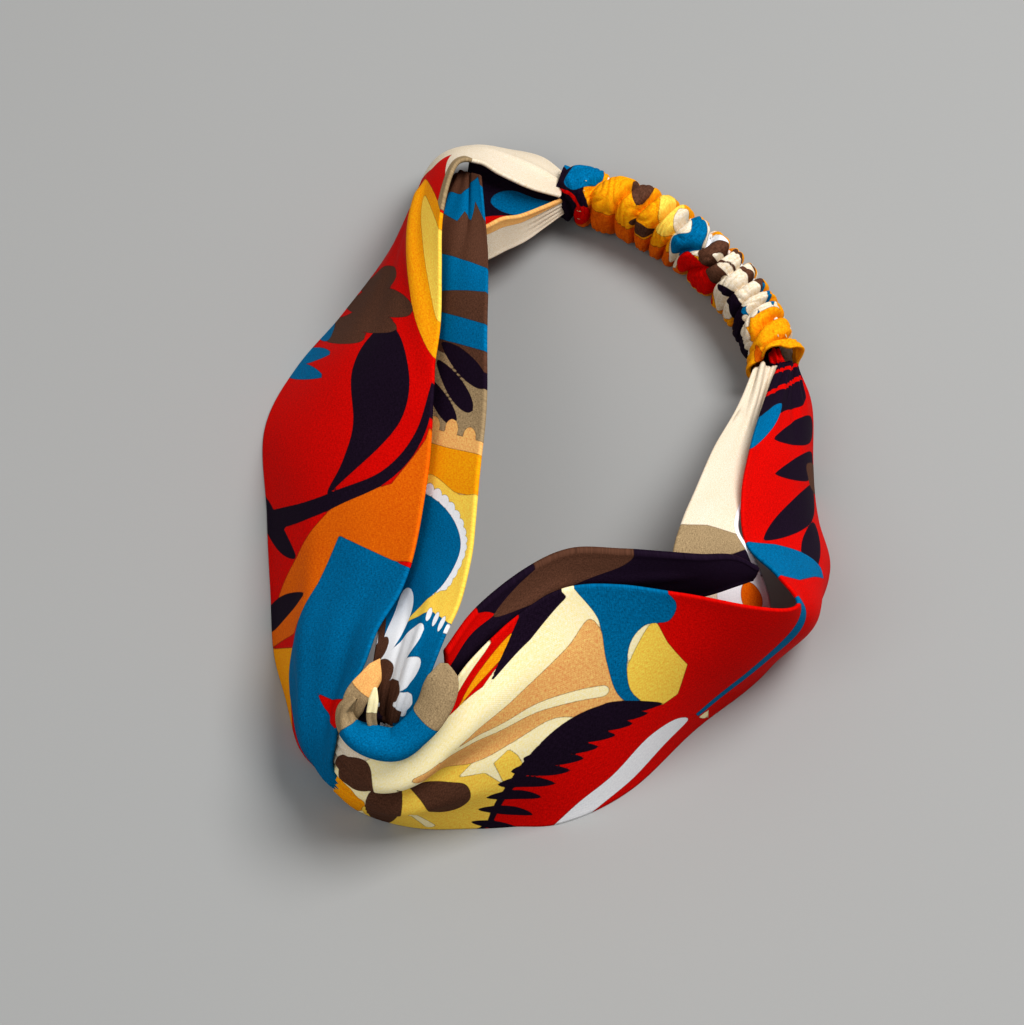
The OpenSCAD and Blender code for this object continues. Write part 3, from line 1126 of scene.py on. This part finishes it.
@dataclass
class RightLoop:
    """The right loop: its outer band, the dark inner band and the pale strip behind it."""

    satin: bpy.types.Material
    outer_design: Print = field(default_factory=lambda: Print(Dye.PALE, (
        Patch(Dye.GOLD, ((-4, -4), (6, -4), (12, 8), (14, 30), (10, 40), (4, 44), (-4, 60))),
        Patch(Dye.CREAM, ((0, 44), (8, 64), (16, 84), (-4, 84), (-4, 50)), False),
        Patch(Dye.LEMON, ((16, -6), (14, 30), (24, 54), (34, 50), (48, 46), (62, 30), (58, -6))),
        Patch(Dye.BROWN, ((3, 60), (7, 72), (12, 74), (16, 62), (16, 50), (11, 42), (6, 46))),
        Patch(Dye.BROWN, ((20, 56), (15, 46), (14, 30), (14, 4), (18, -6), (22, 4), (24, 26), (24, 44))),
        Patch(Dye.BROWN, ((22, 60), (27, 49), (32, 44), (39, 38), (44, 33), (45, 25), (42, 18), (37, 18),
            (33, 25), (30, 36), (26, 46))),
        Stroke(Dye.PALE, ((27, 28), (30, 16), (35, 4)), (0.6, 1.6)),
        Patch(Dye.PALE, ((50, 34), (56, 24), (53, 36), (62, 40), (54, 42), (50, 52), (49, 42), (42, 38)),
            False),
        Patch(Dye.PEACH, ((85, 70), (90, 57), (96, 40), (85, 37), (72, 42), (60, 40), (44, 42), (26, 62),
            (42, 58), (60, 57), (76, 63))),
        Stroke(Dye.PALE, ((36, 60), (54, 50), (70, 48), (86, 46)), (1.0, 2.0)),
        Patch(Dye.RED, ((37, 73), (52, 69), (63, 74), (72, 84), (66, 86), (54, 79)), False),
        Leaf(Dye.GOLD, (44, 71), (64, 76), 2.2, 0.7),
        Patch(Dye.NAVY, ((74, 84), (78, 78), (66, 71), (54, 68), (60, 75), (66, 84)), False),
        Patch(Dye.LEMON, ((99, 62), (106, 69), (113, 60), (114, 46), (112, 30), (104, 26), (97, 33),
            (92, 46))),
        Patch(Dye.RED, ((109, 84), (152, 86), (252, 84), (252, -4), (104, -4), (112, 14), (100, 31),
            (108, 34), (112, 48), (107, 60), (104, 72)), False),
        Patch(Dye.BLUE, ((80, 84), (102, 84), (112, 78), (109, 69), (101, 67), (95, 59), (94, 44),
            (101, 32), (91, 42), (88, 56), (87, 70))),
        Stroke(Dye.BLUE, ((160, 84), (147, 56), (132, 29), (118, 14), (108, 10)), (2.4, 1.6)),
        Patch(Dye.PALE, ((112, 8), (118, 10), (118, -6), (113, -6)), False),
        Patch(Dye.NAVY, ((50, -6), (51, 4), (55, 20), (63, 31), (74, 39), (88, 41), (99, 36), (108, 25),
            (113, 8), (113, -8))),
        Patch(Dye.RED, ((51, -8), (53, 4), (58, 19), (66, 26), (74, 31), (83, 34), (94, 36), (103, 32),
            (110, 22), (115, 8), (115, -8))),
        *saw(Dye.NAVY, ((53, 2), (57, 18), (65, 26), (73, 31), (83, 35), (92, 38)), (11, -5), 11, 2.2),
        Patch(Dye.WHITE, ((69, -4), (78, 6), (88, 12), (98, 20), (107, 20), (111, 13), (102, 9), (94, 5),
            (86, 2), (78, -2))),
        Patch(Dye.NAVY, ((220, 84), (228, 62), (230, 30), (238, 16), (254, 16), (254, 84))),
        Stroke(Dye.RED, ((237, 84), (240, 48), (243, 16)), (1.0, 1.2)),
        Stroke(Dye.RED, ((246, 84), (247, 48), (250, 16)), (0.8, 1.0)),
        *fan(Dye.NAVY, (((218, 64), (222, 6), 5.2), ((205, 60), (210, 4), 4.8), ((184, 70), (200, 8), 6),
            ((170, 58), (188, 16), 5.4))),
        Patch(Dye.BROWN, ((209, 26), (209, -4), (201, -4), (201, 16), (204, 24))),
        Patch(Dye.BLUE, ((185, 86), (182, 64), (174, 30), (171, 26), (170, 46), (168, 66), (170, 86)),
            False),
        Patch(Dye.BLUE, ((232, 62), (226, 84), (214, 84), (222, 66))),
    )))
    dark_design: Print = field(default_factory=lambda: Print(Dye.NAVY, (
        Patch(Dye.RED, ((-4, 48), (10, 50), (20, 48), (12, 64), (-4, 64))),
        Patch(Dye.BROWN, ((20, 48), (30, 38), (44, 36), (58, 50), (60, 64), (40, 64))),
        Patch(Dye.BROWN, ((30, 20), (44, 22), (56, 26), (50, 30), (36, 32))),
    )))
    pale_print_and_shade: Print = field(default_factory=lambda: Print(Dye.CREAM, (
        # painted shade: this navy band stands for the shade where the strip's lower end goes under the dark
        # band
        Patch(Dye.NAVY, ((14, 64), (18, 40), (24, 20), (28, -4), (14, -4)), False),
        Patch(Dye.TAN, ((31, 64), (32, 34), (30, -4), (26, -4), (22, 24), (16, 44), (14, 64)), False),
        Stroke(Dye.WHITE, ((60, 1), (40, 1), (20, 1)), (1, 2.5)),
        Patch(Dye.WHITE, ((-4, -4), (16, -4), (16, 30), (-4, 30))),
        Oval(Dye.ORANGE, (10, 11), (5.5, 7)),
        Oval(Dye.BROWN, (4, 30), (3, 8)),
    )))

    def build(self) -> list[bpy.types.Object]:
        """Build the bands of the loop."""
        outer = Ribbon(
            "right_outer_band", 1,
            ((-7, -104, 6), (0, -105, 2), (9, -104, 0), (18, -101, 0), (29, -95, 0), (40, -89, 0),
             (52, -81, 0),
             (64, -62, 0), (72, -36, 0), (80, -12, 0), (85, 10, 0), (82, 26, 0), (72, 39, 0), (63, 55, 2),
             (54, 70, 6), (46, 79, 9)),
            ((-8, -100, 34), (0, -104, 38), (10, -104, 41), (17, -98, 46), (19, -88, 54), (21, -76, 60),
             (27, -60, 65), (35, -49, 68), (47, -41, 68), (62, -34, 65), (79, -24, 57), (88, -13, 48),
             (79, -7, 48), (67, -1, 46), (59, 12, 46), (54, 28, 43), (49, 48, 34), (44, 70, 22)),
            5, 80, self.outer_design,
            (Crease((18, 60), (96, 62), 7, 2.4), Crease((18, 46), (92, 40), 6, -2.2),
             Crease((16, 76), (60, 78), 5, -1.4), Crease((24, 30), (80, 18), 7, 1.8),
             Crease((250, 60), (206, 66), 5, 1.2), Crease((250, 40), (200, 44), 5, -1.2),
             Crease((158, 74), (130, 40), 8, -0.8)),
            seed=21, gathers=(0.5, 0.4))
        dark = Ribbon(
            "right_dark_band", 1,
            ((18, -86, 40), (24, -74, 50), (30, -62, 52), (36, -52, 54), (48, -42, 55), (60, -31, 56),
             (67, -25, 57), (72, -20, 58), (75, -16, 57)),
            ((14, -78, 62), (17, -66, 68), (24, -52, 73), (32, -41, 74), (44, -34, 73), (54, -29, 72),
             (63, -24, 70), (70, -18, 66), (76, -15, 60)),
            2, 60, self.dark_design,
            (Crease((10, 40), (70, 34), 6, 0.9, (1, 0.6)), Crease((4, 20), (60, 16), 5, -0.8)),
            thick=2.0, seed=23, flutter=0.25)
        pale = Ribbon(
            "right_pale_strip", 1,
            ((80, -10, 26), (76, -7, 36), (69, -3, 44), (62, 2, 46), (58, 18, 40), (53, 36, 32), (48, 54, 25),
             (43, 70, 19)),
            ((64, -34, 40), (56, -26, 50), (52, -16, 53), (49, -4, 49), (47, 7, 45), (44, 26, 39),
             (42, 45, 31), (38, 66, 20)),
            1, 60, self.pale_print_and_shade,
            (Crease((110, 40), (54, 24), 5, 1.8), Crease((110, 16), (74, 14), 4, -1.4), Crease((84, 50),
                (72, 8), 4, 1.2)),
            seed=25, flutter=0.25, gathers=(0, 0.15))
        return [outer.build(self.satin), dark.build(self.satin), pale.build(self.satin)]


@dataclass
class TwistKnot:
    """The knot's front: the rolled cuff, the folds that go into it, and the bunched turns."""

    satin: bpy.types.Material
    cuff_design: Print = Print(Dye.BLUE, (
        Patch(Dye.TAN, ((-4, -4), (14, -4), (17, 20), (14, 54), (-4, 54))),
        Patch(Dye.TAN, ((47, -4), (66, -4), (66, 54), (46, 54), (44, 20))),
    ))
    # painted shade: the tan ground darkens the lower half of the yellow fold where it is shaded; the peach
    # patch is the fold's own colour
    fold_colour_and_shade: Print = Print(Dye.TAN, (
        Patch(Dye.PEACH, ((-4, -4), (8, -4), (11, 22), (7, 54), (-4, 54))),
    ))
    turn_design: Print = Print(Dye.NAVY, (
        Patch(Dye.BROWN, ((10, -4), (22, -4), (26, 54), (12, 54))),
        Patch(Dye.TAN, ((34, -4), (44, -4), (46, 54), (36, 54))),
    ))

    def _turn(self, name: str, side: int) -> Roll:
        """Give the bunched turn that reaches toward one side."""
        bow = [(-9, -12), (0, -12), (8, -9), (12, 0), (8, 9), (0, 12), (-9, 12)]
        path = tuple((side * (0.7 * x - 2), -86 + 0.5 * y, 30 - side * 0.6 * y) for x, y in bow)
        return Roll(name, path, ((4, 4), (4.5, 4.5), (4, 4)), self.turn_design, (0, 1, 1), 6, 0.6, 31 + side)

    def build_right(self) -> list[bpy.types.Object]:
        """Build the pieces of the knot that belong to the right loop."""
        cuff = Roll(
            "knot_rolled_cuff",
            ((15, -81, 62), (17, -86, 58), (17, -91, 53), (15, -96, 48), (11, -101, 44), (3, -103, 43),
             (-3, -102, 43), (-6, -99, 46), (-4, -96, 50)),
            ((2.2, 0.8), (3.8, 1.6), (4.2, 2.5), (4.4, 3.2), (4.6, 3.6), (4.4, 3.4), (3.2, 2.6), (2, 1.8),
             (1.3, 1.2)),
            self.cuff_design, (0.23, -0.44, 0.87), 3, 0.5, 41)
        return [cuff.build(self.satin), self._turn("right_turn_bunch", -1).build(self.satin)]

    def build_left(self) -> list[bpy.types.Object]:
        """Build the pieces of the knot that belong to the left loop."""
        fold = Roll(
            "knot_yellow_fold",
            ((-3, -82, 50), (-4, -88, 48), (-5, -94, 45), (-4, -99, 41)),
            ((1.4, 0.8), (2.6, 1.2), (3, 1.4), (2, 1.2)),
            self.fold_colour_and_shade, (0.23, -0.44, 0.87), 3, 0.3, 43)
        tuck = Roll(
            "knot_cream_tuck",
            ((0, -92, 53), (1, -95, 50), (2, -98, 46), (4, -100, 42)),
            ((0.9, 0.8), (1.2, 1), (1.3, 1.1), (1, 1)),
            Print(Dye.PALE, (Patch(Dye.TAN, ((8, -4), (18, -4), (18, 54), (8, 54))),)), (0, 0, 1), 3, 0.3, 44)
        return [fold.build(self.satin), tuck.build(self.satin),
                self._turn("left_turn_bunch", 1).build(self.satin)]


@dataclass
class ElasticBack:
    """The back of the band: the gathered sleeve, the elastic, the loops' tails and the stitches."""

    satin: bpy.types.Material
    elastic: bpy.types.Material
    thread: bpy.types.Material
    line: BackLine = BackLine()
    stitch_count: int = 16
    sleeve_design: Print = field(default_factory=lambda: Print(Dye.GOLD, (
        Patch(Dye.NAVY, ((-4, -34), (9, -34), (8, 0), (12, 10), (22, 12), (30, 16), (30, 34), (-4, 34)),
            False),
        Patch(Dye.BLUE, ((-2, -30), (8, -22), (12, -9), (6, 0), (2, -2), (3, -10), (-2, -12))),
        Stroke(Dye.RED, ((-2, 3), (4, 2), (7, 6)), (1, 0.6)),
        Patch(Dye.ORANGE, ((8, 8), (16, 6), (30, 9), (44, 8), (50, 13), (40, 20), (10, 20))),
        Patch(Dye.RED, ((6, 7), (10, 6), (12, 12), (6, 14))),
        Leaf(Dye.BROWN, (24, -16), (27, -2), 3, 0.4),
        Patch(Dye.LEMON, ((30, -10), (36, -12), (41, -6), (40, 2), (35, 3), (33, -4))),
        Leaf(Dye.BROWN, (26, 6), (34, 6), 2.5),
        Patch(Dye.CREAM, ((36, -34), (40, -20), (48, -14), (57, -19), (66, -14), (76, -20), (88, -16),
            (93, -26), (90, -34))),
        Patch(Dye.CREAM, ((38, -8), (46, -12), (55, -10), (56, -2), (48, 4), (46, 12), (42, 12), (41, 0))),
        Patch(Dye.BLUE, ((43, -12), (48, -9), (50, -2), (47, 6), (43, 7), (42, 1), (46, -4), (42, -9))),
        Patch(Dye.WHITE, ((49, -11), (56, -10), (52, -3), (50, -6))),
        Patch(Dye.BROWN, ((50, -3), (56, -10), (66, -13), (74, -10), (70, -4), (64, 2), (62, 9), (56, 4))),
        Leaf(Dye.CREAM, (56, -3), (68, -12), 2),
        Leaf(Dye.CREAM, (60, -2), (70, -7), 1.6),
        Patch(Dye.RED, ((48, 3), (54, 2), (61, 5), (62, 12), (54, 14), (47, 10))),
        Patch(Dye.CREAM, ((64, -2), (72, -9), (82, -12), (86, -4), (80, -1), (76, 2), (72, 10), (64, 12))),
        Patch(Dye.NAVY, ((64, 4), (70, 0), (76, 0), (80, -4), (83, 4), (90, 8), (96, 16), (78, 16),
            (72, 6))),
        Stroke(Dye.BLUE, ((72, -11), (79, -10), (81, -5), (78, 0)), (0.8, 1.4)),
        Scallop(Dye.CREAM, ((81, -7), (80, -1), (83, 4), (88, 7)), 2.4, 5),
        Patch(Dye.GOLD, ((83, -14), (82, -4), (85, 2), (90, 5), (98, 4), (98, -14))),
        Leaf(Dye.ORANGE, (97, 4), (90, 1), 1.6),
    )))

    def _tail(self, name: str, start: float, end: float, design: Print, seed: int) -> bpy.types.Object:
        """Build a loop's gathered end, which goes into a mouth of the sleeve."""
        line, _, _ = self.line.frame(np.linspace(start, end, 5))
        roll = Roll(name, tuple(map(tuple, line)), ((2, 4.6), (2.4, 5.4), (2.6, 6)), design,
                    (0, 0, 1), 9, 0.35, seed, False)
        return roll.build(self.satin)

    def tails(self) -> list[bpy.types.Object]:
        """Build both tails, the left one first."""
        return [
            self._tail("left_tail_gathers", 0.04, 0.15,
                       Print(Dye.CREAM, (Oval(Dye.PEACH, (6, 20), (3, 9)),)), 51),
            self._tail("right_tail_gathers", 0.85, 0.99,
                       Print(Dye.NAVY, (Oval(Dye.RED, (10, 14), (3, 9)),)), 52),
        ]

    def _mouth_row(self, name: str, at: float) -> bpy.types.Object:
        """Build the stitches round one mouth of the sleeve."""
        line, along, out = self.line.frame(np.full(self.stitch_count, at))
        angle = (np.arange(self.stitch_count) + 0.5) * 2 * np.pi / self.stitch_count
        spots = line + out * (7.2 * np.cos(angle))[:, None]
        spots[:, 2] += 10.4 * np.sin(angle)
        return StitchRow(name, spots, along, 1.5, 0.4).build(self.thread)

    def _anchor_row(self, name: str, start: float, end: float) -> bpy.types.Object:
        """Build the slanting stitches that hold one end of the elastic."""
        u = np.repeat(np.linspace(start, end, 5), 6)
        line, along, out = self.line.frame(u)
        rise = np.tile(np.linspace(-5, 5, 6), 5)
        spots = line - out * 4.1
        spots[:, 2] += rise
        return StitchRow(name, spots, np.array([0.0, 0.0, 1.0]) + along * 0.3, 1.9, 0.5).build(self.thread)

    def left_stitches(self) -> list[bpy.types.Object]:
        """Build the stitches at the left mouth, round it and on the elastic."""
        return [self._mouth_row("left_mouth_thread", 0.08), self._anchor_row("left_anchor_thread", 0.1, 0.14)]

    def right_stitches(self) -> list[bpy.types.Object]:
        """Build the stitches at the right mouth, round it and on the elastic."""
        return [self._mouth_row("right_mouth_thread", 0.92),
                self._anchor_row("right_anchor_thread", 0.86, 0.9)]

    def spanning(self) -> list[bpy.types.Object]:
        """Build the sleeve and the elastic, which run from one loop to the other."""
        sleeve = GatheredSleeve(self.line, design=self.sleeve_design)
        return [sleeve.build(self.satin), ElasticBand(self.line).build(self.elastic)]


@dataclass(frozen=True)
class Studio:
    """A pale paper floor, soft lights and the camera. Places are in metres."""

    target: Point3 = (-0.002, -0.010, 0.020)
    azimuth: float = 28.0
    elevation: float = 60.0
    distance: float = 1.1
    lens: float = 135.35
    air: float = 0.28
    floor_reach: float = 3.0
    floor_side: int = 13

    def build(self) -> None:
        """Set up the floor, the lights, the surroundings and the camera."""
        scene = bpy.context.scene
        scene.view_settings.view_transform = "Standard"
        scene.view_settings.look = "Medium High Contrast"
        mesh = bpy.data.meshes.new("studio_floor")
        n = self.floor_side
        steps = np.linspace(-self.floor_reach, self.floor_reach, n)
        points = [(x, y, 0.0) for y in steps for x in steps]
        faces = [(j * n + i, j * n + i + 1, (j + 1) * n + i + 1, (j + 1) * n + i)
                 for j in range(n - 1) for i in range(n - 1)]
        mesh.from_pydata(points, [], faces)
        mesh.materials.append(StudioPaper().make())
        floor = bpy.data.objects.new("studio_floor", mesh)
        scene.collection.objects.link(floor)
        self._light("key", (0.42, 0.42, 1.25), 0.65, 16.5)
        self._light("fill", (-0.3, -0.9, 1.35), 0.9, 6.5)
        world = bpy.data.worlds.new("studio_air")
        world.use_nodes = True
        world.node_tree.nodes["Background"].inputs[0].default_value = (1, 1, 1, 1)
        world.node_tree.nodes["Background"].inputs[1].default_value = self.air
        scene.world = world
        lens = bpy.data.cameras.new("camera")
        lens.lens = self.lens
        lens.sensor_width = 36
        lens.sensor_fit = "HORIZONTAL"
        lens.clip_end = 20
        camera = bpy.data.objects.new("camera", lens)
        scene.collection.objects.link(camera)
        turn, rise = math.radians(self.azimuth), math.radians(self.elevation)
        back = Vector((math.sin(turn) * math.cos(rise), -math.cos(turn) * math.cos(rise), math.sin(rise)))
        camera.location = Vector(self.target) + back * self.distance
        camera.rotation_euler = back.to_track_quat("Z", "Y").to_euler()
        scene.camera = camera

    def _light(self, name: str, place: Point3, size: float, power: float) -> None:
        """Add a square soft light that faces the band."""
        lamp = bpy.data.lights.new(name, "AREA")
        lamp.energy, lamp.size = power, size
        obj = bpy.data.objects.new(name, lamp)
        obj.location = place
        obj.rotation_euler = (Vector(place) - Vector(self.target)).to_track_quat("Z", "Y").to_euler()
        bpy.context.scene.collection.objects.link(obj)


def attach(pieces: list[bpy.types.Object], body: Body, slot: Slot) -> None:
    """Make pieces ride on a body."""
    for piece in pieces:
        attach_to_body(piece, body.value)
        LOG.info("%s rides on %s", piece.name, body.value)


def span(pieces: list[bpy.types.Object], slots: list[Slot]) -> None:
    """Bake the transforms of the pieces that run from the left loop to the right one along the elastic back.
    """
    for piece, slot in zip(pieces, slots):
        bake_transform(piece)
        LOG.info("%s bends across the back", piece.name)


def main() -> None:
    """Build the headband and its studio."""
    logging.basicConfig(level=logging.INFO, format="%(name)s: %(message)s")
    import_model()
    Studio().build()
    satin, elastic, thread = PrintedSatin().make(), KnittedElastic().make(), SewingThread().make()

    left = LeftLoop(satin).build()
    attach(left, Body.LEFT, Slot.SATIN)
    right = RightLoop(satin).build()
    attach(right, Body.RIGHT, Slot.SATIN)
    knot = TwistKnot(satin)
    knot_right, knot_left = knot.build_right(), knot.build_left()
    attach(knot_right, Body.RIGHT, Slot.SATIN)
    attach(knot_left, Body.LEFT, Slot.SATIN)
    back = ElasticBack(satin, elastic, thread)
    left_tail, right_tail = back.tails()
    attach([left_tail], Body.LEFT, Slot.SATIN)
    attach([right_tail], Body.RIGHT, Slot.SATIN)
    sleeve, band = back.spanning()
    left_mouth, left_anchor = back.left_stitches()
    right_mouth, right_anchor = back.right_stitches()
    attach([right_mouth, right_anchor], Body.RIGHT, Slot.THREAD)
    span([sleeve, band, left_mouth, left_anchor], [Slot.SATIN, Slot.ELASTIC, Slot.THREAD, Slot.THREAD])

    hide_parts("left_loop_outer")
    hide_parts("left_loop_inner")
    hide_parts("left_loop_turn")
    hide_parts("left_loop_tail")
    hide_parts("right_loop_outer")
    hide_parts("right_loop_inner")
    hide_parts("right_loop_turn")
    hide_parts("right_loop_tail")
    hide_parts("gathered_sleeve")
    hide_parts("elastic_band")
    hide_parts("left_mouth_stitches")
    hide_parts("right_mouth_stitches")
    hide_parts("left_anchor_stitches")
    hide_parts("right_anchor_stitches")

    for piece, flat, others in (
        (left[0], (0.060, 0.258), [*knot_left, left_tail]), (left[1], (0.050, 0.207), []),
        (left[2], (0.011, 0.052), []), (left[3], (0.020, 0.031), []),
        (right[0], (0.060, 0.250), [*knot_right, right_tail]), (right[1], (0.020, 0.099), []),
        (right[2], (0.020, 0.110), []),
    ):
        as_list(others)


if __name__ == "__main__":
    main()
